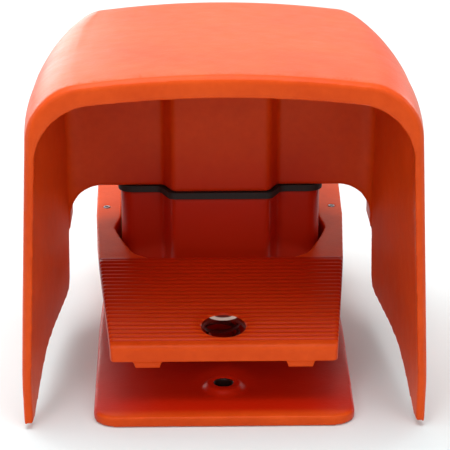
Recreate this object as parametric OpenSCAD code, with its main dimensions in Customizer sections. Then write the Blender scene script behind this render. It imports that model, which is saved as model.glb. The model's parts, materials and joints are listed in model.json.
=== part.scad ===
// Heavy-duty industrial foot switch: cast guard hood, rocking treadle, sealed switch housing.
// Frame: +X to the operator's right, -Y towards the foot opening, +Z up, base on the floor.
// Units are millimetres. Inside the modules y is measured back from the hood's front rim.

/* [Overall] */
// Length from the hood's front rim to the rear of the base flange
overall_l = 222; // [220:1:230]
// Height of the top of the guard hood
hood_top = 162.5; // [158:0.5:166]
// Height of the joint between lower housing and cover
joint_z = 70.2; // [69.8:0.1:71.4]

/* [Guard hood] */
// Half width of the hood at its widest, at shoulder height
hood_half_w = 86.8; // [84:0.2:88]
// Distance behind the front rim of the widest section
hood_widest_y = 42; // [36:1:48]
// Plan radius of the barrelled sides
barrel_r = 337; // [320:1:360]
// Radius of the crowned roof
crown_r = 490; // [440:5:560]
// Radius of the roof to side shoulder
shoulder_r = 26; // [22:0.5:28]
// Outward lean of the sides, degrees
side_lean = 2.8; // [2:0.1:3.2]
// Side wall thickness
hood_wall = 4.1; // [3.6:0.1:4.6]
// Roof thickness behind the front lip
roof_t = 6.5; // [5:0.5:8]
// Roof thickness at the front lip
lip_t = 9.9; // [8:0.1:10.5]
// Depth of the thick front lip
lip_l = 9; // [6:0.5:14]
// Where the hood starts to roll down, behind the front rim
hood_roll_y = 132; // [128:1:134]
// Height of the hood's front feet above the floor
hood_foot_z = 2.5; // [2:0.1:4]
// Front face of the inner back wall
back_wall_y = 119; // [118.5:0.5:119.4]
// Thickness of the inner back wall
back_wall_t = 4.5; // [4:0.5:6]

/* [Housing] */
// Half width of the switch housing
house_half_w = 49.6; // [49:0.1:50]
// Front face of the housing's sides
house_front_y = 119.5; // [119.5:0.1:120.5]
// Front face of the housing's centre bump
bump_front_y = 108.5; // [107.5:0.5:110]
// Half width of the centre bump
bump_half_w = 23.7; // [22:0.1:25]
// Width of the bump's sloping flanks
bump_flank = 4.9; // [3.5:0.1:6]
// Rear face of the housing
house_rear_y = 206; // [205:0.5:207]
// Wall thickness of the housing
house_wall = 5; // [4.5:0.1:5.5]
// Thickness of the cover gasket
gasket_t = 3.2; // [2.4:0.1:3.4]
// How far the gasket stands proud of the housing
gasket_proud = 1.3; // [0.5:0.1:1.5]

/* [Base plate] */
// Half width of the base plate
base_half_w = 60.8; // [60:0.1:61.5]
// Base plate thickness
base_t = 4.8; // [4.4:0.1:5.4]
// Mounting hole diameter
mount_hole_d = 8.2; // [6.6:0.1:8.6]
// Front mounting hole behind the front rim
mount_front_y = 31.4; // [30:0.2:33]
// Rear mounting holes behind the front rim
mount_rear_y = 212; // [211.5:0.5:213]
// Spacing of the two rear mounting holes
mount_rear_w = 76; // [72:1:80]
// Diameter of the conduit entry
conduit_d = 20.9; // [18:0.1:22]
// Height of the conduit entry
conduit_z = 34; // [32:0.5:36]

/* [Treadle] */
// Treadle half width at the front edge
tread_front_w = 51; // [49:0.5:53]
// Front edge of the treadle behind the front rim
tread_front_y = 14; // [13:0.5:15]
// Upper face height at the front edge
tread_front_z = 33.6; // [33.4:0.1:34.2]
// Rise of the treadle per millimetre to the rear
tread_rise = 0.1035; // [0.1:0.0005:0.107]
// Treadle plate thickness
tread_t = 6; // [5.5:0.1:6.5]
// Distance between the ribs of the tread
rib_pitch = 3.6; // [3.2:0.1:4]
// Height of the ribs
rib_h = 0.9; // [0.6:0.1:1.1]
// Diameter of the screwdriver access hole
tread_hole_d = 20.5; // [18:0.5:21]
// Depth of the stop lugs under the front edge
lug_h = 3.2; // [2.8:0.1:3.4]
// Inner face of each treadle arm
arm_inner_w = 50.9; // [50.8:0.1:51.4]
// Depth of the pocket in each arm around the shaft bushing
arm_pocket = 2.6; // [2.2:0.1:3]

/* [Pivot] */
// Pivot shaft diameter
shaft_d = 10; // [9:0.5:10]
// Pivot shaft behind the front rim
shaft_y = 158; // [157:0.5:159]
// Pivot shaft height
shaft_z = 38.5; // [38:0.1:39]
// Radial running clearance of the shaft
run_fit = 0.03; // [0.02:0.01:0.08]
// Shaft bushing outer diameter
bush_d = 14; // [13.5:0.1:15]
// Locking pin diameter
pin_d = 3.5; // [3:0.1:4]
// Locking pins from the centre plane
pin_x = 58.5; // [58:0.1:59]

/* [Return spring] */
// Spring wire diameter
spring_wire = 1.8; // [1.4:0.1:2]
// Spring mean radius
spring_r = 8.2; // [7.8:0.1:9]
// Spring behind the front rim
spring_y = 84; // [82:0.5:86]
// Number of working coils
spring_turns = 5.5; // [5:0.5:6.5]

/* [Switches] */
// Width of one snap-action switch
switch_w = 17.5; // [16.5:0.1:17.6]
// Length of one snap-action switch
switch_l = 49; // [48:0.5:49.5]
// Height of one snap-action switch
switch_h = 24; // [22:0.5:25]
// Front end of the switches behind the front rim
switch_y = 142; // [141.5:0.5:142.5]
// Underside of the switches
switch_z = 61; // [60.8:0.1:61.4]
// Switch plungers behind the front rim
plunger_y = 176; // [175:0.5:177]
// Plunger stem length below the switch at rest
plunger_out = 3; // [2.8:0.1:3.2]
// Gap between the two switches
switch_gap = 0.5; // [0.4:0.1:0.8]

/* [Fixings] */
// Cover screw shank diameter
cover_screw_d = 5; // [4.5:0.1:5.2]
// Cover screws from the centre plane
cover_screw_x = 39.5; // [39:0.1:40]
// Adjusting screw diameter
adjust_d = 4; // [3.5:0.1:4.2]

/* [Hidden] */
$fn = 72;
e = 0.01;
fit = 0.02;
front_y = -overall_l / 2;
shaft_r = shaft_d / 2;
cover_z = joint_z + gasket_t;
boss_out = 9.5;
cover_screw_y = [house_front_y + 11.5, house_rear_y - 11.5];
bracket_screw_y = [switch_y + 10, switch_y + 39];
bracket_screw_x = 30;
ground_x = -28;
ground_y = house_rear_y - 19;
// Underside of the treadle arms' tails, and the ledges they rest on
tail_z = shaft_z + 3;
rest_gap = 0.3;
// Rear edge of the tread between the arms, and its screwdriver hole
tread_mid_y = 99.2;
tread_hole_y = 33;
orange = [0.86, 0.27, 0.09];
steel = [0.66, 0.67, 0.69];
zinc = [0.76, 0.75, 0.7];
bronze = [0.72, 0.52, 0.28];
rubber = [0.08, 0.08, 0.08];
brass = [0.8, 0.65, 0.33];
plastic = [0.14, 0.13, 0.13];

// Upper face of the treadle at y
function tread_z(y) = tread_front_z + tread_rise * (y - tread_front_y);
function unit(v) = v / norm(v);
function turn(p, i) = let (n = len(p), a = p[(i + n - 1) % n], b = p[i], c = p[(i + 1) % n])
    (b[0] - a[0]) * (c[1] - b[1]) - (b[1] - a[1]) * (c[0] - b[0]);

// ---------- helpers ----------

module at_front() translate([0, front_y, 0]) children();
module both() { children(); mirror([1, 0, 0]) children(); }

// The piece between a polygon corner and its rounding arc
module corner_piece(p, i, r) {
    n = len(p);
    u = unit(p[(i + n - 1) % n] - p[i]);
    v = unit(p[(i + 1) % n] - p[i]);
    h = acos(u * v) / 2;
    t = r / tan(h);
    c = p[i] + unit(u + v) * r / sin(h);
    difference() {
        polygon([p[i] + (p[i] - c) * 0.25, p[i] + u * t, c, p[i] + v * t]);
        translate(c) circle(r);
    }
}

// Polygon, counter-clockwise, with a true arc of radius r[i] at every corner
module rpoly(p, r) {
    difference() {
        union() {
            polygon(p);
            for (i = [0:len(p) - 1]) if (r[i] > 0 && turn(p, i) < 0) corner_piece(p, i, r[i]);
        }
        for (i = [0:len(p) - 1]) if (r[i] > 0 && turn(p, i) > 0) corner_piece(p, i, r[i]);
    }
}

// Extrudes a (y, z) profile across the part, from -w to +w
module across(w) translate([-w, 0, 0]) rotate([90, 0, 90]) linear_extrude(2 * w) children();
// Extrudes an (x, z) profile backwards from y0 to y1
module along(y0, y1) translate([0, y1, 0]) rotate([90, 0, 0]) linear_extrude(y1 - y0) children();
module up(z0, z1) translate([0, 0, z0]) linear_extrude(z1 - z0) children();
module bar_x(x0, x1, y, z, r) translate([x0, y, z]) rotate([0, 90, 0]) cylinder(r = r, h = x1 - x0);
module bar_z(x, y, z0, z1, r) translate([x, y, z0]) cylinder(r = r, h = z1 - z0);

// ---------- guard hood ----------

lean_ref_z = 130;
local_side = hood_half_w * cos(side_lean) + lean_ref_z * sin(side_lean);
sweep_x = local_side - barrel_r;
crown_c = [(hood_top - crown_r) * sin(side_lean), (hood_top - crown_r) * cos(side_lean)];
roll_turn = asin((hood_roll_y - hood_widest_y) / barrel_r);

// Shoulder arc centre of a section set in by ts at the side and tt at the roof
function shoulder_c(ts, tt) = let (x = local_side - shoulder_r)
    [x, crown_c[1] + sqrt(pow(crown_r - tt - shoulder_r + ts, 2) - pow(x - crown_c[0], 2))];

// Cross-section of the hood in the leaning frame of its right side
module hood_section(ts, tt, zb, zt) {
    c = shoulder_c(ts, tt);
    n = unit(c - crown_c);
    x0 = -100;
    intersection() {
        union() {
            translate(c) circle(shoulder_r - ts);
            polygon([[x0, zb - 5], [local_side - ts, zb - 5], [local_side - ts, c[1]], [x0, c[1]]]);
            intersection() {
                translate(crown_c) circle(crown_r - tt, $fn = 720);
                polygon([[x0, c[1] - 1], [c[0], c[1] - 1], c, c + n * 60, [x0, hood_top + 60]]);
            }
        }
        polygon([[x0, zb], [local_side + 1, zb], [local_side + 1, zt], [x0, zt]]);
    }
}

// Right half of the hood's solid: a swept side, then a barrel roll and a rear post.
// Roll and post sit a casting line of 0.2 mm inside the piece before them.
module hood_half(ts, tt, roll) {
    c = shoulder_c(ts + 0.2, tt + 0.2);
    d = shoulder_c(ts + 0.4, tt + 0.4);
    rotate([0, -side_lean, 0]) translate([sweep_x, hood_widest_y, 0]) {
        rotate([0, 0, -20]) rotate_extrude(angle = 20 + roll_turn, $fn = 360)
            translate([-sweep_x, 0]) hood_section(ts, tt, -30, 200);
        if (roll) rotate([0, 0, roll_turn]) translate([-sweep_x, 0, 0]) {
            translate([0, -0.8, c[1]]) rotate([0, -90, 0]) rotate_extrude(angle = 90, $fn = 180)
                rotate(-90) translate([0, -c[1]]) hood_section(ts + 0.2, tt + 0.2, c[1] + 0.02, 200);
            up(-30, c[1] + 0.8) translate([0, -d[1] - 1.6]) hood_section(ts + 0.4, tt + 0.4, d[1], 200);
        }
    }
}

// Flat lower cheek that tapers in towards the rear
module cheek(ts) translate([89.6 - ts, 0, hood_foot_z]) rotate([0, 0, 5.43]) rotate([0, 0.7, 0])
    translate([-220, -60, -60]) cube([220, 300, 300]);

module hood_solid(ts, tt, roll) both() intersection() {
    hood_half(ts, tt, roll);
    cheek(ts);
    translate([0, -30, -40]) cube([130, 260, 260]);
}

// Plan outline of the housing, set in by t, with the centre bump kept k deep
module house_plan(t, k = 0) {
    w = house_half_w - t;
    yf = house_front_y + t;
    yb = bump_front_y + t;
    b = bump_half_w - t;
    s = b + bump_flank + k;
    yr = house_rear_y - t;
    rpoly([[-w, yf], [-s, yf], [-b, yb], [b, yb], [s, yf], [w, yf], [w, yr], [-w, yr]],
        [7 - t * 0.7, 3, 3.4, 3.4, 3, 7 - t * 0.7, 9 - t * 0.8, 9 - t * 0.8]);
}

// Side profile of the cover over the housing, set in by t
module cover_profile(t) rpoly([[100, cover_z - 2], [house_rear_y - t, cover_z - 2],
    [house_rear_y - t, 104 - t * 0.5], [141 - t * 0.4, hood_top - 1.5 - t], [100, hood_top - 1.5 - t]],
    [0, 0, 14 - t, 24 - t, 0]);

module cover_block(t) intersection() {
    up(cover_z, hood_top + 5) house_plan(t);
    across(80) cover_profile(t);
    along(90, 220) translate([0, hood_top - 1.5 - t - crown_r]) circle(crown_r, $fn = 720);
}

// Inner outline of the lip at the front rim
module lip_outline() both() intersection() {
    rotate(-side_lean) translate([sqrt(barrel_r * barrel_r - hood_widest_y * hood_widest_y) - barrel_r, 0])
        hood_section(hood_wall - 1.1, lip_t, 80, 200);
    translate([-0.01, 100]) square([110, 100]);
}

// The space for the foot, with the thick lip left along the front of the roof
module foot_space() difference() {
    intersection() {
        hood_solid(hood_wall, roof_t, false);
        up(-10, 200) rpoly([[-110, -5], [110, -5], [76.2, back_wall_y], [-76.2, back_wall_y]],
            [0, 0, 10, 10]);
    }
    along(-10, lip_l) difference() {
        translate([-130, 110]) square([260, 100]);
        lip_outline();
    }
}

module guard_hood() color(orange) at_front() difference() {
    union() {
        difference() {
            intersection() {
                hood_solid(0, 0, true);
                up(hood_foot_z, 200) translate([-120, 0]) square([240, 200]);
            }
            foot_space();
            // hollow shoulders behind the back wall, open below
            intersection() {
                hood_solid(hood_wall + 0.4, roof_t, true);
                up(0, 200) translate([-120, back_wall_y + back_wall_t]) square([240, 100]);
            }
        }
        cover_block(0);
    }
    // switch chamber in the cover
    difference() {
        translate([0, 0, -1]) cover_block(house_wall);
        both() for (y = cover_screw_y) cover_boss(y);
    }
    // gate under the back wall, over the treadle arms
    along(back_wall_y - 12, 230) rpoly([[-74.6, -10], [74.6, -10], [74.6, cover_z], [-74.6, cover_z]],
        [0, 0, 16, 16]);
    // swept lower edge of the side walls
    across(120) rpoly([[-10, -10], [240, -10], [240, 52], [116, 52], [110.5, 22], [65, 21.8],
        [44, 20], [28, 14], [5, hood_foot_z], [-10, hood_foot_z]],
        [0, 0, 0, 4, 9, 40, 30, 20, 0, 0]);
    // blind holes for the cover screws
    both() for (y = cover_screw_y) bar_z(cover_screw_x, y, cover_z - 1, 92, cover_screw_d / 2 + fit);
}

// Screw boss in the cover, joined to the corner of the chamber
module cover_boss(y) {
    bar_z(cover_screw_x, y, cover_z - 2, 98, 6.2);
    up(cover_z - 2, 98) translate([cover_screw_x, y - 6.2]) square([12, 12.4]);
}

// ---------- base casting ----------

module base_plan() rpoly([[-58.7, 1], [58.7, 1], [base_half_w, 100], [base_half_w, 196],
    [50, overall_l], [-50, overall_l], [-base_half_w, 196], [-base_half_w, 100]],
    [10.5, 10.5, 60, 10, 12, 12, 10, 60]);

module mount_boss(x, y) {
    bar_z(x, y, base_t - 1, base_t + 0.4, 10);
    translate([x, y, base_t + 0.4]) cylinder(r1 = 9.4, r2 = 7.6, h = 2.4);
}

module base_casting() color(orange) at_front() difference() {
    union() {
        up(0, base_t) base_plan();
        mount_boss(0, mount_front_y);
        both() mount_boss(mount_rear_w / 2, mount_rear_y);
        difference() {
            up(base_t - 1, joint_z) house_plan(0);
            up(base_t, joint_z + 1) house_plan(house_wall);
        }
        // cover screw bosses in the corners
        both() for (y = cover_screw_y) {
            bar_z(cover_screw_x, y, base_t - 1, joint_z, 6.2);
            up(base_t - 1, joint_z) translate([cover_screw_x, y - 6.2]) square([8, 12.4]);
        }
        // shaft bosses inside the walls
        both() bar_x(house_half_w - boss_out, house_half_w - 1, shaft_y, shaft_z, 12);
        // rest ledges for the tails of the treadle arms
        both() translate([house_half_w - 2, shaft_y + 22.5, base_t - 1])
            cube([13.4, 7, tail_z - rest_gap - base_t + 1]);
        // conduit hub
        translate([0, house_rear_y - 2, conduit_z]) rotate([-90, 0, 0])
            cylinder(r = 16, h = overall_l - house_rear_y + 2 - 1);
        // locating spigot of the return spring
        bar_z(0, spring_y, base_t - 1, base_t + 5, 6.4);
        // ground screw pad
        bar_z(ground_x, ground_y, base_t - 1, base_t + 2, 7);
    }
    bar_z(0, mount_front_y, -1, 20, mount_hole_d / 2);
    both() bar_z(mount_rear_w / 2, mount_rear_y, -1, 20, mount_hole_d / 2);
    both() for (y = cover_screw_y) {
        bar_z(cover_screw_x, y, -1, joint_z + 1, cover_screw_d / 2 + 0.3);
        bar_z(cover_screw_x, y, -1, 5.5, 5.2);
    }
    both() {
        bar_x(house_half_w - boss_out - 1, house_half_w + 1, shaft_y, shaft_z, shaft_r + 0.35);
        bar_x(house_half_w - 7.6, house_half_w + 1, shaft_y, shaft_z, bush_d / 2 + fit);
    }
    translate([0, house_rear_y - house_wall - 1, conduit_z]) rotate([-90, 0, 0])
        cylinder(r = conduit_d / 2, h = 40);
    bar_z(ground_x, ground_y, 1.2, 20, 2.5 + fit);
    for (y = bracket_screw_y) bar_z(bracket_screw_x, y, 1.2, 20, 2 + fit);
}

module cover_gasket() color(rubber) at_front() difference() {
    up(joint_z + fit, cover_z - fit) house_plan(-gasket_proud);
    up(joint_z - 1, cover_z + 1) house_plan(house_wall + 2.5);
    both() for (y = cover_screw_y) bar_z(cover_screw_x, y, joint_z - 1, cover_z + 1, cover_screw_d / 2 + 0.3);
}

module cover_screws() color(zinc) at_front() both() for (y = cover_screw_y) difference() {
    union() {
        bar_z(cover_screw_x, y, 1.6, 90, cover_screw_d / 2);
        bar_z(cover_screw_x, y, 1.6, 5.3, 4.6);
    }
    bar_z(cover_screw_x, y, 0, 4.2, 2.2, $fn = 6);
}

// ---------- treadle ----------

module tread_plan() rpoly([[-tread_front_w, tread_front_y - 0.5], [tread_front_w, tread_front_y - 0.5],
    [60, tread_mid_y - 0.2], [63.5, 148], [64.6, 189.5], [arm_inner_w, 189.5], [arm_inner_w, 146],
    [53.5, 133], [50.2, 122], [43.5, 105.5], [35, tread_mid_y], [-35, tread_mid_y], [-43.5, 105.5],
    [-50.2, 122], [-53.5, 133], [-arm_inner_w, 146], [-arm_inner_w, 189.5], [-64.6, 189.5],
    [-63.5, 148], [-60, tread_mid_y - 0.2]],
    [3, 3, 0, 0, 3, 1, 12, 10, 12, 8, 6, 6, 8, 12, 10, 12, 1, 3, 0, 0]);

// Side profile of plate, front skirt and arms
module tread_profile() union() {
    rpoly([[tread_front_y, 26], [tread_front_y + 6, 26], [tread_front_y + 8, tread_z(tread_front_y + 8) - tread_t],
        [100, tread_z(100) - tread_t], [110, tread_z(110) - tread_t - 2.5], [150, shaft_z - 11],
        [166, shaft_z - 11], [shaft_y + 19, tail_z], [189, tail_z], [189, tread_z(189)], [tread_front_y, tread_front_z]],
        [0, 1, 3, 0, 0, 8, 8, 6, 2, 0, 3.2]);
}

module tread_ribs() intersection() {
    across(70) for (i = [0:22]) translate([tread_front_y + 6.2 + i * rib_pitch,
        tread_z(tread_front_y + 6.2 + i * rib_pitch) - 1.3 + rib_h]) circle(1.3, $fn = 32);
    up(20, 60) rpoly([[-tread_front_w + 0.6, tread_front_y + 3], [tread_front_w - 0.6, tread_front_y + 3],
        [59.2, tread_mid_y - 0.6], [-59.2, tread_mid_y - 0.6]], [1, 1, 1, 1]);
}

module treadle() color(orange) at_front() difference() {
    union() {
        intersection() {
            across(70) tread_profile();
            up(10, 70) tread_plan();
        }
        tread_ribs();
        // stop lugs under the front edge
        both() along(tread_front_y + 0.4, tread_front_y + 8) polygon([[27.5, 27], [29, 26 - lug_h],
            [40, 26 - lug_h], [41.5, 27]]);
        // stiffening ribs below the plate
        both() across_at(30, 34) polygon([[tread_front_y + 4, 26.4], [70, 30], [97, 36],
            [97, 38], [tread_front_y + 4, 31]]);
        // flat seat for the return spring
        bar_z(0, spring_y, 31.5, tread_z(spring_y) - 1.5, 11);
    }
    // screwdriver access hole with its countersunk edge
    bar_z(0, tread_hole_y, 20, 50, tread_hole_d / 2 - 0.6);
    translate([0, tread_hole_y, tread_z(tread_hole_y) - 3.7]) rotate([atan(tread_rise), 0, 0])
        cylinder(r1 = tread_hole_d / 2 - 1.8, r2 = tread_hole_d / 2 + 2.4, h = 5.1);
    bar_z(0, spring_y, 30, 34.5, 6);
    both() {
        bar_x(48, 70, shaft_y, shaft_z, shaft_r + fit);
        bar_x(48, arm_inner_w + arm_pocket, shaft_y, shaft_z, bush_d / 2 + 1.9);
        bar_z(pin_x, shaft_y, 20, 60, pin_d / 2 + fit);
    }
}
module across_at(x0, x1) translate([x0, 0, 0]) rotate([90, 0, 90]) linear_extrude(x1 - x0) children();

// ---------- pivot ----------

module pivot_shaft() color(steel) at_front() difference() {
    union() {
        bar_x(-62, 62, shaft_y, shaft_z, shaft_r);
        both() translate([62, shaft_y, shaft_z]) rotate([0, 90, 0])
            cylinder(r1 = shaft_r, r2 = shaft_r - 0.8, h = 0.8);
    }
    both() bar_z(pin_x, shaft_y, 20, 60, pin_d / 2 + fit);
    // flat under the actuator's set screw
    translate([-4, shaft_y - 8, shaft_z - 4]) cube([8, 3.5, 8]);
}

module arm_pins() color([0.2, 0.2, 0.21]) at_front() both() difference() {
    bar_z(pin_x, shaft_y, shaft_z - 8.5, shaft_z + 7.8, pin_d / 2);
    bar_z(pin_x, shaft_y, shaft_z - 9, shaft_z + 8.5, pin_d / 2 - 0.6);
    translate([pin_x, shaft_y - 3, shaft_z - 9]) translate([-0.3, 0, 0]) cube([0.6, 3, 18]);
}

module shaft_bushings() color(bronze) at_front() both() difference() {
    union() {
        bar_x(house_half_w - 5.4, house_half_w + 1.5, shaft_y, shaft_z, bush_d / 2);
        bar_x(house_half_w, house_half_w + 1.5, shaft_y, shaft_z, bush_d / 2 + 1.6);
    }
    bar_x(house_half_w - 8, house_half_w + 3, shaft_y, shaft_z, shaft_r + run_fit);
}

module shaft_seals() color(rubber) at_front() both() translate([house_half_w - 6.5, shaft_y, shaft_z])
    rotate([0, 90, 0]) rotate_extrude() translate([(shaft_r + bush_d / 2) / 2, 0])
        circle((bush_d / 2 - shaft_r) / 2 - 0.05, $fn = 32);

module thrust_washers() color([0.9, 0.89, 0.85]) at_front() both() difference() {
    bar_x(house_half_w + 1.6, arm_inner_w + arm_pocket - 0.1, shaft_y, shaft_z, bush_d / 2 + 1.2);
    bar_x(house_half_w + 1, arm_inner_w + arm_pocket + 1, shaft_y, shaft_z, shaft_r + 0.08);
}

// ---------- return spring ----------

spring_z0 = base_t + 0.1;
spring_z1 = 31.4;
spring_pitch = (spring_z1 - spring_z0) / spring_turns;

// One horizontal cut through the coil: as the height rises this turns about the axis
module wire_cut() {
    w = spring_wire / 2;
    a = 360 * w / spring_pitch;
    n = 6;
    function half(i) = w * sqrt(max(0, 1 - pow(i / n, 2)));
    polygon(concat(
        [for (i = [-n:n]) (spring_r + half(i)) * [cos(a * i / n), sin(a * i / n)]],
        [for (i = [n - 1:-1:-n + 1]) (spring_r - half(i)) * [cos(a * i / n), sin(a * i / n)]]));
}
module return_spring() color(steel) at_front() translate([0, spring_y, spring_z0])
    linear_extrude(height = spring_z1 - spring_z0, twist = -360 * spring_turns, slices = spring_turns * 18,
        $fn = 4) wire_cut();

// ---------- actuator ----------

module actuator_arm() color(zinc) at_front() difference() {
    union() {
        bar_x(-8, 8, shaft_y, shaft_z, 9.5);
        intersection() {
            across(14) rpoly([[shaft_y - 4, shaft_z + 2], [shaft_y + 8, shaft_z - 4], [plunger_y + 6, shaft_z + 2],
                [plunger_y + 6, shaft_z + 8], [shaft_y, shaft_z + 8]], [0, 0, 1, 2, 0]);
            up(20, 60) rpoly([[-8, shaft_y - 9], [8, shaft_y - 9], [8, plunger_y - 9], [14, plunger_y - 5],
                [14, plunger_y + 6], [-14, plunger_y + 6], [-14, plunger_y - 5], [-8, plunger_y - 9]],
                [0, 0, 3, 2, 3, 3, 2, 3]);
        }
    }
    bar_x(-20, 20, shaft_y, shaft_z, shaft_r + fit);
    both() bar_z(switch_x, plunger_y, 20, 60, adjust_d / 2 + fit);
    translate([0, shaft_y - 12, shaft_z]) rotate([-90, 0, 0]) cylinder(r = 2.5 + fit, h = 12);
}
switch_x = (switch_w + switch_gap) / 2;

module actuator_set_screw() color([0.2, 0.2, 0.21]) at_front() translate([0, shaft_y - 10, shaft_z])
    rotate([-90, 0, 0]) difference() {
        cylinder(r = 2.5, h = 5.4);
        translate([0, 0, -1]) cylinder(r = 1.4, h = 3.5, $fn = 6);
    }

adjust_top = switch_z - plunger_out - 0.3;
module adjusting_screws() color(steel) at_front() both() {
    bar_z(switch_x, plunger_y, shaft_z - 4, adjust_top - 1.6, adjust_d / 2);
    translate([switch_x, plunger_y, adjust_top - 1.6]) cylinder(r = 2.8, h = 1.6, $fn = 6);
}
module adjusting_nuts() color(zinc) at_front() both() difference() {
    translate([switch_x, plunger_y, shaft_z + 8.1]) cylinder(r = 4, h = 2.6, $fn = 6);
    bar_z(switch_x, plunger_y, shaft_z, 60, adjust_d / 2 + fit);
}

// ---------- switches ----------

switch_hole_y = [switch_y + 14.3, switch_y + 39.7];
switch_hole_z = switch_z + 5;
plunger_travel_room = 4;

module switch_body() difference() {
    union() {
        across_at(switch_gap / 2, switch_gap / 2 + switch_w) rpoly([[switch_y, switch_z], [switch_y + switch_l, switch_z],
            [switch_y + switch_l, switch_z + switch_h], [switch_y, switch_z + switch_h]], [1.5, 1.5, 1.5, 1.5]);
    }
    for (y = switch_hole_y) bar_x(-1, 20, y, switch_hole_z, 2.1);
    bar_z(switch_x, plunger_y, switch_z - 1, switch_z + 9 + plunger_travel_room, 2.06);
    // moulded relief on the outer side
    translate([switch_gap / 2 + switch_w - 0.8, switch_y + 6, switch_z + 11]) cube([2, switch_l - 12, switch_h - 15]);
}
module switch_right() color(plastic) at_front() switch_body();
module switch_left() color(plastic) at_front() mirror([1, 0, 0]) switch_body();

module plunger() union() {
    bar_z(switch_x, plunger_y, switch_z - plunger_out + 0.6, switch_z + 9, 2);
    translate([switch_x, plunger_y, switch_z - plunger_out]) cylinder(r1 = 1.5, r2 = 2, h = 0.6);
}
module plunger_right() color([0.75, 0.12, 0.08]) at_front() plunger();
module plunger_left() color([0.75, 0.12, 0.08]) at_front() mirror([1, 0, 0]) plunger();

plate_x = switch_gap / 2 + switch_w + 0.1;
module switch_bracket() color(zinc) at_front() difference() {
    union() {
        across_at(plate_x, plate_x + 2) rpoly([[switch_y + 3, base_t + fit], [switch_y + 46, base_t + fit],
            [switch_y + 46, switch_z + 16], [switch_y + 3, switch_z + 16]], [0, 0, 4, 4]);
        up(base_t + fit, base_t + fit + 2) rpoly([[plate_x, switch_y + 3], [plate_x + 18, switch_y + 3],
            [plate_x + 18, switch_y + 46], [plate_x, switch_y + 46]], [0, 4, 4, 0]);
    }
    bar_x(plate_x - 1, plate_x + 3, shaft_y, shaft_z, 8);
    for (y = switch_hole_y) bar_x(plate_x - 1, plate_x + 3, y, switch_hole_z, 2.1);
    for (y = bracket_screw_y) bar_z(bracket_screw_x, y, 0, 20, 2.2);
    translate([plate_x - 1, 168, 20]) cube([4, 12, 24]);
}

module pan_screw(r, l, hr, hh) difference() {
    union() {
        translate([0, 0, -l]) cylinder(r = r, h = l + e);
        cylinder(r = hr, h = hh * 0.6);
        translate([0, 0, hh * 0.6]) cylinder(r1 = hr, r2 = hr - hh * 0.4, h = hh * 0.4);
    }
    translate([-hr - 1, -hr * 0.12, hh * 0.5]) cube([2 * hr + 2, hr * 0.24, hh]);
}

module bracket_screws() color(zinc) at_front() for (y = bracket_screw_y)
    translate([bracket_screw_x, y, base_t + fit + 2.02]) pan_screw(2, 5, 3.8, 2.6);

module switch_screws() color(zinc) at_front() for (y = switch_hole_y)
    translate([-(switch_gap / 2 + switch_w) - 0.02, y, switch_hole_z]) rotate([0, -90, 0])
        pan_screw(2, 2 * (switch_gap / 2 + switch_w) + 6.4, 3.7, 2.4);

module switch_nuts() color(zinc) at_front() for (y = switch_hole_y) difference() {
    translate([plate_x + 2.02, y, switch_hole_z]) rotate([0, 90, 0]) cylinder(r = 4, h = 3, $fn = 6);
    bar_x(plate_x, plate_x + 8, y, switch_hole_z, 2 + fit);
}

// Terminals: common in front, normally open and normally closed behind
tab_at = [[switch_y - 0.02, switch_z + 12, -1], [switch_y + switch_l + 0.02, switch_z + 6.5, 1],
    [switch_y + switch_l + 0.02, switch_z + 18, 1]];
module terminal_tabs() color(brass) at_front() both() for (t = tab_at) difference() {
    translate([switch_x - 3.4, t[2] > 0 ? t[0] : t[0] - 8.5, t[1]]) cube([6.8, 8.5, 1]);
    bar_z(switch_x, t[0] + t[2] * 4.4, t[1] - 1, t[1] + 2, 1.6);
}
module terminal_screws() color(zinc) at_front() both() for (t = tab_at)
    translate([switch_x, t[0] + t[2] * 4.4, t[1] + 1.02]) pan_screw(1.55, 3, 3, 1.8);

module ground_screw() color([0.15, 0.5, 0.2]) at_front() translate([ground_x, ground_y, base_t + 2.02]) union() {
    translate([0, 0, -5]) cylinder(r = 2.5, h = 5.1);
    cylinder(r = 5.6, h = 1);
    translate([0, 0, 0.9]) cylinder(r = 4.6, h = 3.2, $fn = 6);
}

base_casting();
guard_hood();
cover_gasket();
cover_screws();
treadle();
pivot_shaft();
arm_pins();
shaft_bushings();
shaft_seals();
thrust_washers();
return_spring();
actuator_arm();
actuator_set_screw();
adjusting_screws();
adjusting_nuts();
switch_bracket();
bracket_screws();
switch_left();
switch_right();
plunger_left();
plunger_right();
switch_screws();
switch_nuts();
terminal_tabs();
terminal_screws();
ground_screw();
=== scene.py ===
# %% [markdown]
# # A guarded industrial foot switch
#
# The object is a heavy cast foot switch: a barrel-sided hood that keeps falling things off
# the pedal, a ribbed treadle that rocks on a cross shaft, and a closed switch housing with a
# gasket between its two castings. The frame from the CAD pack holds every piece at its real
# size, so this script gives the pieces their finish and the three castings their soft edges.

# %% Load the frame
import json
import math

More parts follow.
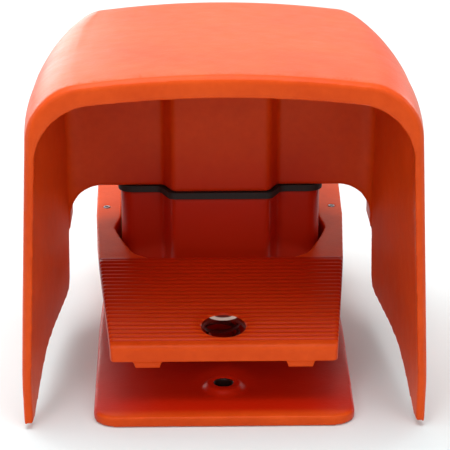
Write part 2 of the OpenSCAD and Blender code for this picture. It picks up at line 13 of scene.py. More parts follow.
import bmesh
import bpy
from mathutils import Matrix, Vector


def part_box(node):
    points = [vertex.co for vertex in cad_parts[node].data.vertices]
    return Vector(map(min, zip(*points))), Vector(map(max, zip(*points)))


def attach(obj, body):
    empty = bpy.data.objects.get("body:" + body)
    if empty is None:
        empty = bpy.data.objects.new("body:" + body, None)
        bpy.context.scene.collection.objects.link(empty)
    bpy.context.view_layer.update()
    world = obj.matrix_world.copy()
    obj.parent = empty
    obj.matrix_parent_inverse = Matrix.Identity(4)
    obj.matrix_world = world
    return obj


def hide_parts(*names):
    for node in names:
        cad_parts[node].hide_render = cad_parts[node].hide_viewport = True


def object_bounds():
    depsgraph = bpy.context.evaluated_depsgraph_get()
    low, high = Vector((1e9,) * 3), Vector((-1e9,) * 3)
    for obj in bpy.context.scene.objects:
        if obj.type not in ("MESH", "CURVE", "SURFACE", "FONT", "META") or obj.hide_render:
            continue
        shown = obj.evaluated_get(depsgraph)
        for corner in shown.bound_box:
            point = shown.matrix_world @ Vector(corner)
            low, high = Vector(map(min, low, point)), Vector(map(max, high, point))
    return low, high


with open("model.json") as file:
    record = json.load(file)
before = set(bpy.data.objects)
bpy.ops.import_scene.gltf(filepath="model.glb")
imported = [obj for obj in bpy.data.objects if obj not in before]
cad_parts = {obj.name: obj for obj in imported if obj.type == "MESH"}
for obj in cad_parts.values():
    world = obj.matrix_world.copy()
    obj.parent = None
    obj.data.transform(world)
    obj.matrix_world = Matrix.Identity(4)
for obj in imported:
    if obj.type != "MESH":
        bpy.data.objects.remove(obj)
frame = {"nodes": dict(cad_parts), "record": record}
nodes = frame["nodes"]
cad_low, cad_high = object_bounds()
MM = 0.001
print("CAD nodes:", len(nodes), "box in mm:", [round(side / MM) for side in cad_high - cad_low])

# %% [markdown]
# ## Shader maths as plain arithmetic
#
# A pattern is a sum: a bit of noise here, less of it on the ridges. Wiring Math nodes by hand
# hides that sum, so a small class wraps a socket and overloads the operators. Every other node
# comes from one method, which takes the node's settings first and its sockets after them.


# %% Sockets that can be added and multiplied
class Value:
    def __init__(self, sheet, socket):
        self.sheet, self.socket = sheet, socket

    def maths(self, operation, first, second):
        return self.sheet.node("ShaderNodeMath", {"operation": operation}, {0: first, 1: second})

    def __add__(self, other):
        return self.maths("ADD", self, other)

    def __sub__(self, other):
        return self.maths("SUBTRACT", self, other)

    def __rsub__(self, other):
        return self.maths("SUBTRACT", other, self)

    def __mul__(self, other):
        return self.maths("MULTIPLY", self, other)

    def __gt__(self, other):
        return self.maths("GREATER_THAN", self, other)

    def __lt__(self, other):
        return self.maths("LESS_THAN", self, other)

    def to_and_fro(self, span):
        return self.maths("PINGPONG", self, span)

    def hypot(self, other):
        return self.maths("SQRT", self * self + other * other, 0.0)

    def size(self):
        return self.maths("ABSOLUTE", self, 0.0)


# %% A sheet of nodes for one finish
class Finish:
    def __init__(self, name):
        self.material = bpy.data.materials.new(name)
        self.material.use_nodes = True
        self.tree = self.material.node_tree
        self.tree.nodes.clear()
        self.place = self.node("ShaderNodeTexCoord", out="Object")

    def node(self, kind, settings=None, sockets=None, out=0):
        made = self.tree.nodes.new(kind)
        for key, value in (settings or {}).items():
            if key == "stops":
                self.set_stops(made.color_ramp, value)
            else:
                setattr(made, key, value)
        for key, value in (sockets or {}).items():
            if isinstance(value, Value):
                self.tree.links.new(value.socket, made.inputs[key])
            else:
                made.inputs[key].default_value = value
        return Value(self, made.outputs[out])

    def set_stops(self, ramp, stops):
        while len(ramp.elements) < len(stops):
            ramp.elements.new(0.5)
        for element, (at, shade) in zip(ramp.elements, stops):
            element.position = at
            element.color = (shade, shade, shade, 1)

    def noise(self, scale, detail=2.0, roughness=0.5):
        return self.node("ShaderNodeTexNoise", {}, {
            "Vector": self.place, "Scale": scale, "Detail": detail, "Roughness": roughness})

    def ramp(self, value, *stops):
        return self.node("ShaderNodeValToRGB", {"stops": stops}, {0: value})

    def blend(self, mask, below, above):
        return self.node("ShaderNodeMix", {"data_type": "RGBA"}, {0: mask, 6: below, 7: above}, out=2)

    def axes(self):
        split = self.node("ShaderNodeSeparateXYZ", {}, {0: self.place}).socket.node
        return [Value(self, split.outputs[axis]) for axis in "XYZ"]

    def bump(self, height, strength, distance, over=None):
        sockets = {"Height": height, "Strength": strength, "Distance": distance}
        if over:
            sockets["Normal"] = over
        return self.node("ShaderNodeBump", {}, sockets)

    def coat(self, **sockets):
        named = {key.replace("_", " "): value for key, value in sockets.items()}
        self.show(self.node("ShaderNodeBsdfPrincipled", {}, named))
        return self.material

    def show(self, shader):
        out = self.tree.nodes.new("ShaderNodeOutputMaterial")
        self.tree.links.new(shader.socket, out.inputs["Surface"])


def colour(red, green, blue):
    return (red, green, blue, 1.0)


# %% [markdown]
# ## Castings with soft edges
#
# A sand casting has no sharp edge anywhere: every corner is rounded by the mould and again by
# the thick coating. The CAD solids have true, sharp corners. Bevelling them edge by edge fails
# where many faces meet, so each casting is melted instead: a merged copy of the CAD mesh is
# rebuilt from small cubes with the Remesh modifier, and a few smoothing passes round its edges.
# The cube's size sets how far the rounding reaches. Small cubes make many triangles, so a last
# modifier thins them to a fixed number.


# %% Copy a CAD node
same_place = 0.001 * MM


def merged(data):
    mesh = bmesh.new()
    mesh.from_mesh(data)
    bmesh.ops.remove_doubles(mesh, verts=mesh.verts, dist=same_place)
    return mesh


def merged_copy(node):
    return merged(nodes[node].data)


def as_object(name, mesh):
    data = bpy.data.meshes.new(name)
    mesh.to_mesh(data)
    mesh.free()
    made = bpy.data.objects.new(name, data)
    bpy.context.scene.collection.objects.link(made)
    return made


# %% Melt a mesh
most_triangles = 190000


def triangles(piece):
    return sum(len(face.vertices) - 2 for face in piece.data.polygons)


def settle(piece):
    graph = bpy.context.evaluated_depsgraph_get()
    final = bpy.data.meshes.new_from_object(piece.evaluated_get(graph))
    piece.modifiers.clear()
    piece.data = final


def melt(name, mesh, cube, passes):
    piece = as_object(name, mesh)
    rebuild = piece.modifiers.new("rebuild", "REMESH")
    rebuild.mode, rebuild.voxel_size, rebuild.use_smooth_shade = "VOXEL", cube, True
    soften = piece.modifiers.new("soften", "SMOOTH")
    soften.factor, soften.iterations = 0.5, passes
    settle(piece)
    made = triangles(piece)
    if made > most_triangles:
        thin = piece.modifiers.new("thin", "DECIMATE")
        thin.ratio = most_triangles / made
        settle(piece)
    print(name, "melted into", made, "triangles, kept", triangles(piece))
    return piece


# %% [markdown]
# ## The rear of the guard hood
#
# On the real casting the crowned roof runs back over the switch cover in one sweep and then
# rolls down, with tighter shoulders than at the front. A flat slab in two measures, across and
# back, is bent into that dome by one formula. It is sunk into the roof and melted together with
# it, so that no seam shows. The switch cover is lowered a little first, to lie below the dome.

# %% Sizes of the barrel and the crown
hood_low, hood_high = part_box("guard_hood")
front_rim = hood_low.y
widest_half, widest_back = 86.8 * MM, 42 * MM
barrel_radius = 337 * MM
front_shoulder, rear_shoulder = 26 * MM, 18 * MM
front_crown, rear_crown = 490 * MM, 450 * MM
roof_fall = 0.5 * MM


def half_width(back):
    return widest_half - barrel_radius + math.sqrt(barrel_radius**2 - (back - widest_back)**2)


print("hood half as wide at the rim:", round(half_width(0) / MM, 1), "mm")

# %% Sizes of the dome, measured back from the rim
dome_start, roll_start, dome_end = 38 * MM, 132.5 * MM, 148.5 * MM
change_start = dome_start + 4 * MM
roll_radius, tight_from, tight_radius = 26 * MM, 7 * MM, 14 * MM
slab_depth, rear_extra, thinner_at_wall = 5.5 * MM, 3 * MM, 0.3
extra_start, extra_end = 112 * MM, 124 * MM
buried_depth, buried_length = 0.6 * MM, 34 * MM
wall_overlap, wall_fade, wall_gone = 2 * MM, 118 * MM, 138 * MM
cover_floor, cover_sink = 150 * MM, 0.8 * MM
flat_share, arc_share = 0.72, 0.20


# %% How far the roll has dropped, and how a slab's width is shared out
def ease(value, start, end):
    share = min(1.0, max(0.0, (value - start) / (end - start)))
    return share * share * (3 - 2 * share)


def roll_drop(past):
    first = min(past, tight_from)
    drop = roll_radius - math.sqrt(roll_radius**2 - first**2)
    if past > tight_from:
        start = math.asin(tight_from / roll_radius)
        turn = math.asin(math.sin(start) + (past - tight_from) / tight_radius)
        drop += tight_radius * (math.cos(start) - math.cos(turn))
    return drop


def shares(across):
    reach = abs(across)
    quarter = min(1.0, max(0.0, reach - flat_share) / arc_share)
    straight = max(0.0, reach - flat_share - arc_share) / (1 - flat_share - arc_share)
    return min(1.0, reach / flat_share), quarter * math.pi / 2, straight


# %% Bend a flat slab into the dome
def dome_point(across, back, below):
    level, turn, straight = shares(across)
    change = ease(back, change_start, roll_start)
    depth = slab_depth + rear_extra * ease(back, extra_start, extra_end)
    sunk = below * depth * (1 - thinner_at_wall * turn)
    sunk += buried_depth * (1 - ease(back, dome_start, dome_start + buried_length))
    outer = front_shoulder + (rear_shoulder - front_shoulder) * change
    shoulder = outer - sunk
    crown = front_crown + (rear_crown - front_crown) * change
    flat = half_width(back) - sunk - shoulder
    x = flat * level + shoulder * math.sin(turn)
    roof = hood_high.z - roof_fall * change - sunk - min(x, flat)**2 / (2 * crown)
    roll = roll_drop(max(0.0, back - roll_start))
    wall = straight * (front_shoulder - outer + wall_overlap) * (1 - ease(back, wall_fade, wall_gone))
    z = roof - shoulder * (1 - math.cos(turn)) - roll - wall
    return Vector((math.copysign(x, across), front_rim + back, z))


def bent_slab(shape, start, end, across, along):
    slab = bmesh.new()
    bmesh.ops.create_grid(slab, x_segments=across, y_segments=along, size=1.0)
    top = bmesh.ops.extrude_face_region(slab, geom=slab.faces[:])
    for part in top["geom"]:
        if isinstance(part, bmesh.types.BMVert):
            part.co.z = 1.0
    for vert in slab.verts:
        back = start + (end - start) * (vert.co.y + 1) / 2
        vert.co = shape(vert.co.x, back, 1 - vert.co.z)
    bmesh.ops.recalc_face_normals(slab, faces=slab.faces)
    return slab


# %% Join slabs to a mesh
def join(mesh, slab):
    keep = bpy.data.meshes.new("joined_slab")
    slab.to_mesh(keep)
    slab.free()
    mesh.from_mesh(keep)
    bpy.data.meshes.remove(keep)
    return mesh


def add_dome(mesh):
    for vert in mesh.verts:
        if vert.co.y > front_rim + roll_start and vert.co.z > cover_floor:
            vert.co.z -= cover_sink
    return join(mesh, bent_slab(dome_point, dome_start, dome_end, across=100, along=60))


# %% [markdown]
# ## The mouth of the guard hood
#
# The lip along the mouth is thicker than the roof behind it. On the real casting its underside
# follows the crown, with large round inner corners, where the CAD solid has a flat gable. So a
# slab bent to a roomy outline is cut out of the CAD copy, and a bent ring fills the mouth to its
# true outline.

# %% Sizes of the lip, of the roomy cut and of the ring
lip_depth, lip_length, side_wall = 9.9 * MM, 9 * MM, 4.1 * MM
lean, lean_level = math.tan(math.radians(2.8)), 130 * MM
cut_corner, cut_spare, cut_ahead, cut_bottom = 18 * MM, 0.2 * MM, 6 * MM, 80 * MM
lean_share = 0.7
ring_wall, ring_corner, ring_cover, ring_inset = 3.6 * MM, 27 * MM, 2.5 * MM, 0.1 * MM


# %% Bend the cut and the ring
def arch_point(across, back, depth, wall, corner):
    level, turn, _ = shares(across * (flat_share + arc_share))
    flat = half_width(back) - wall - corner
    x = flat * level + corner * math.sin(turn)
    z = hood_high.z - depth - min(x, flat)**2 / (2 * front_crown) - corner * (1 - math.cos(turn))
    return Vector((math.copysign(x, across), front_rim + back, z))


def mouth_point(across, back, below):
    point = arch_point(across, back, lip_depth - cut_spare, side_wall + cut_spare, cut_corner)
    if below:
        outwards = (point.z - cut_bottom) * lean * ease(abs(across), lean_share, 1.0)
        point.x += math.copysign(outwards, across)
        point.z = cut_bottom
    return point


def ring_point(across, back, below):
    if below:
        return arch_point(across, back, lip_depth, ring_wall, ring_corner)
    return arch_point(across, back, ring_cover, ring_cover, front_shoulder - ring_cover)


# %% Cut the mouth and fill it with the ring
def cut_mouth(mesh):
    cutter = as_object("mouth_cutter", bent_slab(mouth_point, -cut_ahead, lip_length, across=96, along=2))
    piece = as_object("hood_cut", mesh)
    cut = piece.modifiers.new("cut", "BOOLEAN")
    cut.operation, cut.solver, cut.object = "DIFFERENCE", "EXACT", cutter
    settle(piece)
    made = merged(piece.data)
    bpy.data.objects.remove(piece)
    bpy.data.objects.remove(cutter)
    return join(made, bent_slab(ring_point, ring_inset, lip_length - ring_inset, across=120, along=2))


# %% [markdown]
# ## The rim of the guard hood
#
# The rim's outer edge has a rounding of nearly four millimetres on the roof and a smaller one
# down the sides. The melt alone leaves it too sharp, so each point of the melted mesh near that
# edge is moved onto a quarter circle. For that, a function tells how deep below the hood's skin
# a point lies, and which way is inwards.

# %% How deep a point lies below the skin
roof_rounding, side_rounding = 3.8 * MM, 2.3 * MM
rounding_low, rounding_high = 105 * MM, 140 * MM


def skin(x, z):
    flat = half_width(0) - front_shoulder
    heart = hood_high.z - flat**2 / (2 * front_crown) - front_shoulder
    if z > heart and abs(x) > flat:
        inward = Vector((math.copysign(flat, x) - x, heart - z))
        return front_shoulder - inward.length, inward.normalized()
    if z > heart:
        return hood_high.z - x * x / (2 * front_crown) - z, Vector((0, -1))
    return half_width(0) + (lean_level - z) * lean - abs(x), Vector((-math.copysign(1, x), 0))


# %% Round the rim
def round_rim(piece):
    moved = 0
    for vert in piece.data.vertices:
        back = vert.co.y - front_rim
        if back > roof_rounding:
            continue
        depth, inward = skin(vert.co.x, vert.co.z)
        upper = ease(vert.co.z, rounding_low, rounding_high)
        size = side_rounding + (roof_rounding - side_rounding) * upper
        if max(depth, back) > size:
            continue
        outer = back > depth
        turn = math.pi / 4 * (1 - back / size if outer else 1 + depth / size)
        step = size * (1 - math.cos(turn)) - (0 if outer else depth)
        vert.co = (vert.co.x + inward.x * step, front_rim + size * (1 - math.sin(turn)),
                   vert.co.z + inward.y * step)
        moved += 1
    print("rim points moved:", moved)


# %% Melt the hood
hood = melt("hood_casting", add_dome(cut_mouth(merged_copy("guard_hood"))), cube=0.85 * MM, passes=8)
round_rim(hood)
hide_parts("guard_hood")
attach(hood, "housing")

# %% [markdown]
# ## The base and the treadle
#
# The base has larger forms, so it melts in cubes of nearly a millimetre. The treadle's ribs are
# under a millimetre high and need smaller ones. Round its access hole the treadle's plate is
# thinner than elsewhere, and the hole's edge stands in a little, so the melted points near the
# hole are moved.

# %% Where the access hole lies
treadle_low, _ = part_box("treadle")
openings = frame["record"]["physics"]["openings"]
hole = next(space["box_m"] for space in openings if space["name"] == "access_hole")
hole_y = (hole[0][1] + hole[1][1]) / 2
tread_slope = 0.1035
front_height = 33.6 * MM - tread_slope * treadle_low.y
hole_height = front_height + tread_slope * hole_y
print("access hole at", round(hole_y / MM, 1), "mm, tread", round(hole_height / MM, 1), "mm high")

# %% Sizes of the thin ring round the hole, from its middle outwards
thinned_by, thin_inside, thin_outside = 0.45, 12.5 * MM, 16 * MM
drawn_in, drawn_from, drawn_most = 0.5 * MM, 9 * MM, 11.3 * MM
fading_from, untouched = 11.5 * MM, 17 * MM


# %% Thin the plate round the hole
def thin_at_hole(piece):
    for vert in piece.data.vertices:
        x, y = vert.co.x, vert.co.y - hole_y
        reach = math.hypot(x, y)
        if reach > untouched:
            continue
        surface = front_height + tread_slope * vert.co.y
        near = 1 - ease(reach, thin_inside, thin_outside)
        vert.co.z = surface + (vert.co.z - surface) * (1 - thinned_by * near)
        fading = 1 - ease(reach, fading_from, untouched)
        inwards = drawn_in * ease(reach, drawn_from, drawn_most) * fading
        vert.co.x -= inwards * x / reach
        vert.co.y -= inwards * y / reach


# %% Melt the base
base = melt("base_with_walls", merged_copy("base_casting"), cube=0.9 * MM, passes=6)
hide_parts("base_casting")
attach(base, "housing")

# %% Melt the treadle
pedal = melt("ribbed_treadle", merged_copy("treadle"), cube=0.5 * MM, passes=3)
thin_at_hole(pedal)
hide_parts("treadle")
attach(pedal, "pedal")

# %% [markdown]
# ## The locking pins
#
# A spring pin is a rolled steel tube. Each was driven in until it was level with the arm, so a
# grey ring shows there. A round wall without ends, given its thickness and rounded at its rims,
# is all it takes.


# %% Two spring pins, level with the arms
pin_sunk, pin_wall, pin_edge, sharp = 0.1 * MM, 0.75 * MM, 0.2 * MM, 1.2


def spring_pins():
    low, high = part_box("arm_pins")
    radius = (high.y - low.y) / 2
    top = front_height + tread_slope * high.y - pin_sunk
    mesh = bmesh.new()
    for side in (-1, 1):
        made = bmesh.ops.create_cone(mesh, cap_ends=False, segments=40, radius1=radius, radius2=radius,
                                     depth=top - low.z)
        place = (side * (high.x - radius), (low.y + high.y) / 2, (low.z + top) / 2)
        bmesh.ops.translate(mesh, verts=made["verts"], vec=place)
    bmesh.ops.solidify(mesh, geom=mesh.faces[:], thickness=pin_wall)
    rims = [edge for edge in mesh.edges if edge.calc_face_angle(0) > sharp]
    bmesh.ops.bevel(mesh, geom=rims, offset=pin_edge, affect="EDGES", segments=2, profile=0.5, material=-1)
    bmesh.ops.recalc_face_normals(mesh, faces=mesh.faces)
    for face in mesh.faces:
        face.smooth = True
    print("spring pins: radius", round(radius / MM, 2), "mm, faces", len(mesh.faces))
    return as_object("spring_pins", mesh)


pins = spring_pins()
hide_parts("arm_pins")
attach(pins, "pedal")

# %% [markdown]
# ## The baked orange coating
#
# The castings are dipped and baked in one thick safety-orange coat. It is smooth enough to
# carry a broad sheen, yet the sand-cast skin below still shows as a fine grain, and the coat
# pools a little darker here and there. Noise at several scales gives those things. Seen head-on
# the coat hardly shines, so its specular level stays low, and the sheen comes at low angles.

# %% Colours of the coat
DEEP, BRIGHT = colour(0.62, 0.058, 0.004), colour(0.72, 0.082, 0.008)
# The sheltered colour and the plate's red are painted shade: darker, redder coats for places under the
# hood and under the treadle.
PAINTED_SHADE, PLATE_SHADE = colour(0.46, 0.016, 0.001), colour(0.52, 0.013, 0.0008)
FACING_GLOSS = 0.12


# %% Colour and relief of the coat
def coat_colour(sheet):
    pooled = sheet.noise(scale=22.0, detail=3.0)
    fine = sheet.noise(scale=260.0)
    return sheet.blend(sheet.ramp(pooled * 0.7 + fine * 0.3, (0.35, 0.0), (0.65, 1.0)), DEEP, BRIGHT)


def cast_relief(sheet, strength=1.0):
    sand = sheet.bump(sheet.noise(scale=95.0), strength=0.16 * strength, distance=1.2 * MM)
    grain = sheet.noise(scale=900.0, detail=3.0, roughness=0.6)
    return sheet.bump(grain, strength=0.25 * strength, distance=0.3 * MM, over=sand)


def coat_sheen(sheet):
    return sheet.noise(scale=130.0, detail=3.0) * 0.12 + 0.32


def coated(sheet, shade, relief=1.0):
    return sheet.coat(Base_Color=shade, Roughness=coat_sheen(sheet),
                      Normal=cast_relief(sheet, relief), Specular_IOR_Level=FACING_GLOSS)


# %% [markdown]
# ## Painted shade in sheltered places
#
# Deep under the hood light reaches the coat only off other orange walls, so it looks darker and
# redder there than at the rim. The lamps give part of that. For the rest, masks that rise smoothly
# with the distance behind the rim paint shade, a darker, redder coat, over the back wall and the
# base plate. They stop at the back wall, so the outside of the housing keeps the bright coat.

# %% Smooth masks from places
back_wall = front_rim + 126 * MM


def span(sheet, value, start, end):
    return sheet.node("ShaderNodeMapRange", {"interpolation_type": "SMOOTHSTEP"},
                      {"Value": value, "From Min": start, "From Max": end})


# %% The hood's coat
shelter_start, shelter_full = front_rim + 70 * MM, front_rim + 95 * MM
shelter_half, shelter_top = 78 * MM, 118 * MM
full_half, full_top = 0.4 * shelter_half, 0.5 * shelter_top


def orange_coat():
    sheet = Finish("orange_coat")
    x, y, z = sheet.axes()
    # Painted shade: the coat turns darker and redder deep under the hood, where the roof keeps the light
    # off.
    inside_shade = span(sheet, y, shelter_start, shelter_full) * (y < back_wall)
    inside_shade = inside_shade * span(sheet, x.size(), shelter_half, full_half)
    inside_shade = inside_shade * span(sheet, z, shelter_top, full_top)
    return coated(sheet, sheet.blend(inside_shade, coat_colour(sheet), PAINTED_SHADE))


# %% The base's coat, with painted shade behind its front edge and in its front bore
plate_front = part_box("base_casting")[0].y
edge_start, edge_end, plate_top = plate_front + 1.5 * MM, plate_front + 9 * MM, 20 * MM
bore_reach, FRONT_BORE_SHADE = 4.6 * MM, colour(0.02, 0.006, 0.005)


def base_coat():
    sheet = Finish("base_coat")
    x, y, z = sheet.axes()
    # Painted shade: behind the plate's front edge the base turns a darker red, on the plate under the
    # treadle and on the walls below the hood.
    base_shade_mask = span(sheet, y, edge_start, edge_end) * (y < back_wall)
    low = sheet.blend(z > plate_top, PLATE_SHADE, PAINTED_SHADE)
    shade = sheet.blend(base_shade_mask, coat_colour(sheet), low)
    # Painted shade: the front mounting bore is painted near black, for the shade inside it.
    for mount in frame["record"]["mounts"]:
        if mount["name"] == "front_mounting_hole":
            bore_x, bore_y = mount["pos_m"][:2]
            shaded_bore = (x - bore_x).hypot(y - bore_y) < bore_reach
            shade = sheet.blend(shaded_bore, shade, FRONT_BORE_SHADE)
    return coated(sheet, shade)


# %% [markdown]
# ## The treadle's coat
#
# The coat is painted lighter on the crests of the ribs, a painted highlight, and darker in the
# grooves, painted shade. The ribs repeat at one pitch, which a to-and-fro ramp along the treadle
# follows. The bore of the access hole is painted dark as painted shade, and a pale crescent is
# painted on its far wall. The crescent is the band between two depths that curve up at the sides.
# Towards the far end of the ribs the coat is painted darker, as painted shade under the hood.

# %% Where the ribs lie
first_rib, last_rib = treadle_low.y + 6.2 * MM, treadle_low.y + 86 * MM
rib_pitch = 3.6 * MM
rolled_edge = treadle_low.y + 4.5 * MM
# The far end of the treadle is painted darker, as painted shade under the hood.
far_shade_start, far_shade_full, far_shade_share = treadle_low.y + 5 * MM, treadle_low.y + 80 * MM, 0.75
# The grooves' colour is painted shade and the crests' colour a painted highlight.
GROOVE_SHADE, CREST_HIGHLIGHT = colour(0.50, 0.028, 0.003), colour(0.68, 0.072, 0.007)
print("ribs from", round(first_rib / MM, 1), "mm, every", rib_pitch / MM, "mm")


# %% Masks for the painted light and shade on the ribs, and for the painted shade at the far end
def ribbed(sheet, y):
    crest = 1.0 - (y - first_rib).to_and_fro(rib_pitch / 2) * (2 / rib_pitch)
    shade = sheet.blend(sheet.ramp(crest, (0.35, 0.0), (0.8, 1.0)), GROOVE_SHADE, CREST_HIGHLIGHT)
    shade = sheet.blend(y < rolled_edge, shade, coat_colour(sheet))
    shade = sheet.blend(y > last_rib, shade, coat_colour(sheet))
    far_shade = span(sheet, y, far_shade_start, far_shade_full) * (y < last_rib)
    return sheet.blend(far_shade * far_shade_share, shade, PAINTED_SHADE)


# %% The access hole's bore, painted dark as shade, and its pale crescent
hole_reach, hole_edge = 10.8 * MM, 0.5 * MM
crescent_curve, crescent_top, crescent_bottom = 0.0615, 1.5, 3.0
# The bore's dark colour is painted shade inside the access hole, and the pale colour is a crescent painted
# on its far wall.
HOLE_SHADE, PALE_CRESCENT = colour(0.10, 0.004, 0.001), colour(0.75, 0.66, 0.58)


def ribbed_coat():
    sheet = Finish("treadle_coat")
    x, y, z = sheet.axes()
    depth = y * tread_slope + front_height - z
    shaded_bore = (x.hypot(y - hole_y) < hole_reach) * (depth > hole_edge)
    shade = sheet.blend(shaded_bore, ribbed(sheet, y), HOLE_SHADE)
    crescent = depth * (1 / MM) + x * x * (crescent_curve / MM / MM)
    pale_band = shaded_bore * (y > hole_y) * (crescent > crescent_top) * (crescent < crescent_bottom)
    return coated(sheet, sheet.blend(pale_band, shade, PALE_CRESCENT), relief=0.8)


# %% [markdown]
# ## Metals, rubber and plastics
#
# Inside and at the ends of the shaft there are plated, ground and sintered metals. They differ
# in colour, in how rough they are and in the size of their grain, so one recipe serves them all.
# A second recipe serves what is moulded: the rubber gasket, the seals and the switches' cases.


# %% One recipe for the metals
def metal(name, dark, light, rough, grain):
    sheet = Finish(name)
    patches = sheet.noise(scale=grain, detail=3.0, roughness=0.6)
    relief = sheet.bump(sheet.noise(scale=grain * 9), strength=0.08, distance=0.1 * MM)
    return sheet.coat(Base_Color=sheet.blend(patches, dark, light), Metallic=1.0,
                      Roughness=patches * 0.15 + rough, Normal=relief)


# %% One recipe for rubber and plastics
def moulded(name, dark, light, rough, grain):
    sheet = Finish(name)
    patches = sheet.noise(scale=grain, detail=3.0, roughness=0.6)
    relief = sheet.bump(sheet.noise(scale=grain * 12), strength=0.1, distance=0.12 * MM)
    return sheet.coat(Base_Color=sheet.blend(patches, dark, light), Normal=relief,
                      Roughness=patches * 0.12 + rough, Specular_IOR_Level=0.35)


# %% Dark colour, light colour, roughness and grain of each finish
metals = {
    "zinc_steel": ("zinc_plate", (0.50, 0.49, 0.44), (0.72, 0.71, 0.66), 0.30, 240.0),
    "bare_steel": ("ground_steel", (0.20, 0.20, 0.21), (0.34, 0.34, 0.35), 0.34, 320.0),
    "bronze": ("sintered_bronze", (0.34, 0.20, 0.08), (0.52, 0.33, 0.15), 0.42, 700.0),
    "brass": ("stamped_brass", (0.62, 0.44, 0.16), (0.78, 0.60, 0.28), 0.28, 300.0),
}
mouldings = {
    "black_rubber": ("gasket_rubber", (0.008, 0.007, 0.007), (0.022, 0.018, 0.016), 0.62, 180.0),
    "pale_plastic": ("oiled_nylon", (0.10, 0.06, 0.04), (0.20, 0.14, 0.09), 0.45, 200.0),
    "black_plastic": ("thermoset", (0.012, 0.012, 0.013), (0.03, 0.03, 0.03), 0.42, 150.0),
    "red_plastic": ("plunger_red", (0.42, 0.03, 0.02), (0.55, 0.05, 0.03), 0.4, 400.0),
    "green_screw": ("earth_green", (0.02, 0.20, 0.05), (0.04, 0.30, 0.08), 0.4, 400.0),
    # The spring's near-black red is painted shade, so that it sinks into the shade seen through the access
    # hole.
    "dipped": ("dipped_spring", (0.09, 0.003, 0.001), (0.13, 0.005, 0.002), 0.5, 300.0),
}

# %% Make the finishes
finishes = {"painted_casting": orange_coat()}
for recipe, table in ((metal, metals), (moulded, mouldings)):
    for slot, (name, dark, light, rough, grain) in table.items():
        finishes[slot] = recipe(name, colour(*dark), colour(*light), rough, grain)
print("finishes:", ", ".join(sorted(finishes)))

# %% [markdown]
# ## Dress every piece
#
# The record says which material slot each node takes, so the slots choose the finish. The three
# melted castings take the orange coat, the base and the treadle in their own versions. The
# return spring is seen through the access hole. It is painted a near-black red as painted shade,
# so that it sinks into the shade under the treadle.


# %% Put the finishes on
def dress(piece, material):
    piece.data.materials.clear()
    piece.data.materials.append(material)


for subpart in frame["record"]["subparts"]:
    dress(nodes[subpart["node"]], finishes[subpart["material_slot"]])
dress(hood, finishes["painted_casting"])
dress(base, base_coat())
dress(pedal, ribbed_coat())
dress(pins, finishes["bare_steel"])
# Painted shade: the return spring takes the near-black red, so it reads as the shade under the treadle.
dress(nodes["return_spring"], finishes["dipped"])

# %% [markdown]
# ## Stage
#
# The stage is a plain pale floor. To the camera and to mirrors it glows a little, which brings it
# up to white, and it still takes the object's shadow. Its colour leans away from red, against the
# orange light that the object throws on it. The Light Path node tells those rays from the others,
# so the light that the floor throws back at the object stays plain.

# %% Floor
floor_half, floor_gap = 4.0, 0.3 * MM
floor_tint = (0.92, 1.0, 1.01)
seen_kinds = ("Is Camera Ray", "Is Glossy Ray", "Is Transmission Ray")


def make_floor(bounce, seen, glow):
    mesh = bmesh.new()
    bmesh.ops.create_grid(mesh, x_segments=2, y_segments=2, size=floor_half)
    bmesh.ops.translate(mesh, verts=mesh.verts, vec=(0, 0, cad_low.z - floor_gap))
    floor = as_object("floor", mesh)
    sheet = Finish("pale_floor")
    outputs = sheet.node("ShaderNodeLightPath").socket.node.outputs
    direct, mirrored, through = [Value(sheet, outputs[kind]) for kind in seen_kinds]
    rays = direct + mirrored + through
    shown = colour(*[seen * part for part in floor_tint])
    pale = sheet.blend(rays, colour(bounce, bounce, bounce), shown)
    matt = sheet.node("ShaderNodeBsdfDiffuse", {}, {"Color": pale})
    shine = sheet.node("ShaderNodeEmission", {}, {"Strength": rays * glow})
    sheet.show(sheet.node("ShaderNodeAddShader", {}, {0: matt, 1: shine}))
    floor.data.materials.append(sheet.material)


make_floor(bounce=0.8, seen=0.76, glow=0.06)

# %% [markdown]
# ## World
#
# The world is white to the camera, to mirrors and to clear pieces, at a strength of one. To all
# other rays it is a weak even fill, which lifts the shadows without washing out the colours.


# %% White background, weak fill
def background(tree, strength):
    made = tree.nodes.new("ShaderNodeBackground")
    made.inputs["Color"].default_value = colour(1, 1, 1)
    made.inputs["Strength"].default_value = strength
    return made.outputs[0]


def make_world(strength):
    world = bpy.data.worlds.new("studio")
    bpy.context.scene.world = world
    world.use_nodes = True
    tree = world.node_tree
    tree.nodes.clear()
    rays = tree.nodes.new("ShaderNodeLightPath")
    seen = rays.outputs[seen_kinds[0]]
    for kind in seen_kinds[1:]:
        total = tree.nodes.new("ShaderNodeMath")
        total.operation, total.use_clamp = "ADD", True
        tree.links.new(seen, total.inputs[0])
        tree.links.new(rays.outputs[kind], total.inputs[1])
        seen = total.outputs[0]
    mix = tree.nodes.new("ShaderNodeMixShader")
    out = tree.nodes.new("ShaderNodeOutputWorld")
    for socket, place in zip((seen, background(tree, strength), background(tree, 1.0)), mix.inputs):
        tree.links.new(socket, place)
    tree.links.new(mix.outputs[0], out.inputs["Surface"])


make_world(strength=0.28)

# %% [markdown]
# ## Lamps
#
# A broad lamp hangs overhead, so the roof is bright and the inside of the hood stays deep. Weak
# lamps behind the object graze its roof, its left shoulder and its arms, and give the sheen its
# direction. Two lamps in front keep the lip and the treadle's front edge clear of black.


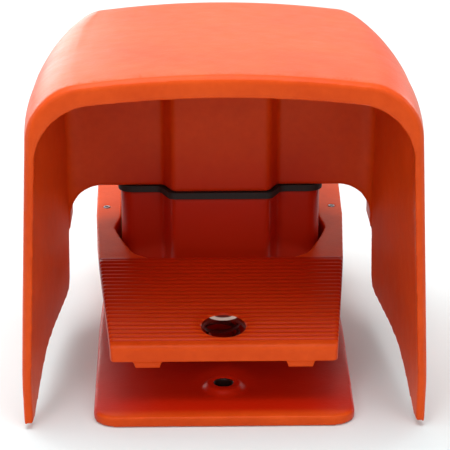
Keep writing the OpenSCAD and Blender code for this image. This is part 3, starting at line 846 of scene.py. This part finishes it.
# %% Softboxes
def softbox(name, place, aim, size, power, tint=(1, 1, 1)):
    lamp = bpy.data.lights.new(name, "AREA")
    lamp.shape = "RECTANGLE"
    lamp.size, lamp.size_y = size
    lamp.energy = power
    lamp.color = tint
    shown = bpy.data.objects.new(name, lamp)
    bpy.context.scene.collection.objects.link(shown)
    shown.location = place
    shown.rotation_euler = (Vector(aim) - Vector(place)).to_track_quat("-Z", "Y").to_euler()
    print("lamp", name, power, "W")


WARM = (1.0, 0.86, 0.66)
softbox("overhead", place=(-0.1, -0.1, 1.25), aim=(0, 0, 0.1), size=(1.1, 0.9), power=18.0)
softbox("behind", place=(-0.1, 1.2, 0.7), aim=(0, 0.05, 0.1), size=(1.2, 0.5), power=1.9, tint=WARM)
softbox("shoulder", place=(-0.38, 1.15, 0.25), aim=(-0.05, 0, 0.12), size=(0.4, 0.3), power=2.0)
softbox("behind_left", place=(-0.9, 0.85, 0.42), aim=(0, 0.05, 0.05), size=(0.5, 0.4), power=5.0)
softbox("behind_right", place=(0.9, 0.85, 0.42), aim=(0, 0.05, 0.05), size=(0.5, 0.4), power=3.5)
softbox("front_left", place=(-0.7, -1.3, 0.8), aim=(0, 0, 0.06), size=(0.6, 0.5), power=4.6)
softbox("front_right", place=(0.8, -1.2, 0.7), aim=(0, 0, 0.06), size=(0.6, 0.5), power=3.1)

# %% [markdown]
# ## Camera
#
# The camera stands 0.8 m in front of the switch and about 0.36 m up, as a person's eye would when
# they bend down to it, and looks slightly down into the mouth of the hood. A long lens keeps the
# hood's sides nearly upright.

# %% Camera
eye = Vector((-0.013, -0.811, 0.357))
target = Vector((0.0012, -0.050, 0.0739))
sensor_mm, lens_mm = 36.0, 139.8
lens = bpy.data.cameras.new("camera")
lens.sensor_width, lens.lens = sensor_mm, lens_mm
camera = bpy.data.objects.new("camera", lens)
bpy.context.scene.collection.objects.link(camera)
camera.location = eye
camera.rotation_euler = (target - eye).to_track_quat("-Z", "Y").to_euler()
bpy.context.scene.camera = camera
bpy.context.scene.view_settings.view_transform = "Standard"
print("camera", round((target - eye).length, 3), "m from its target")
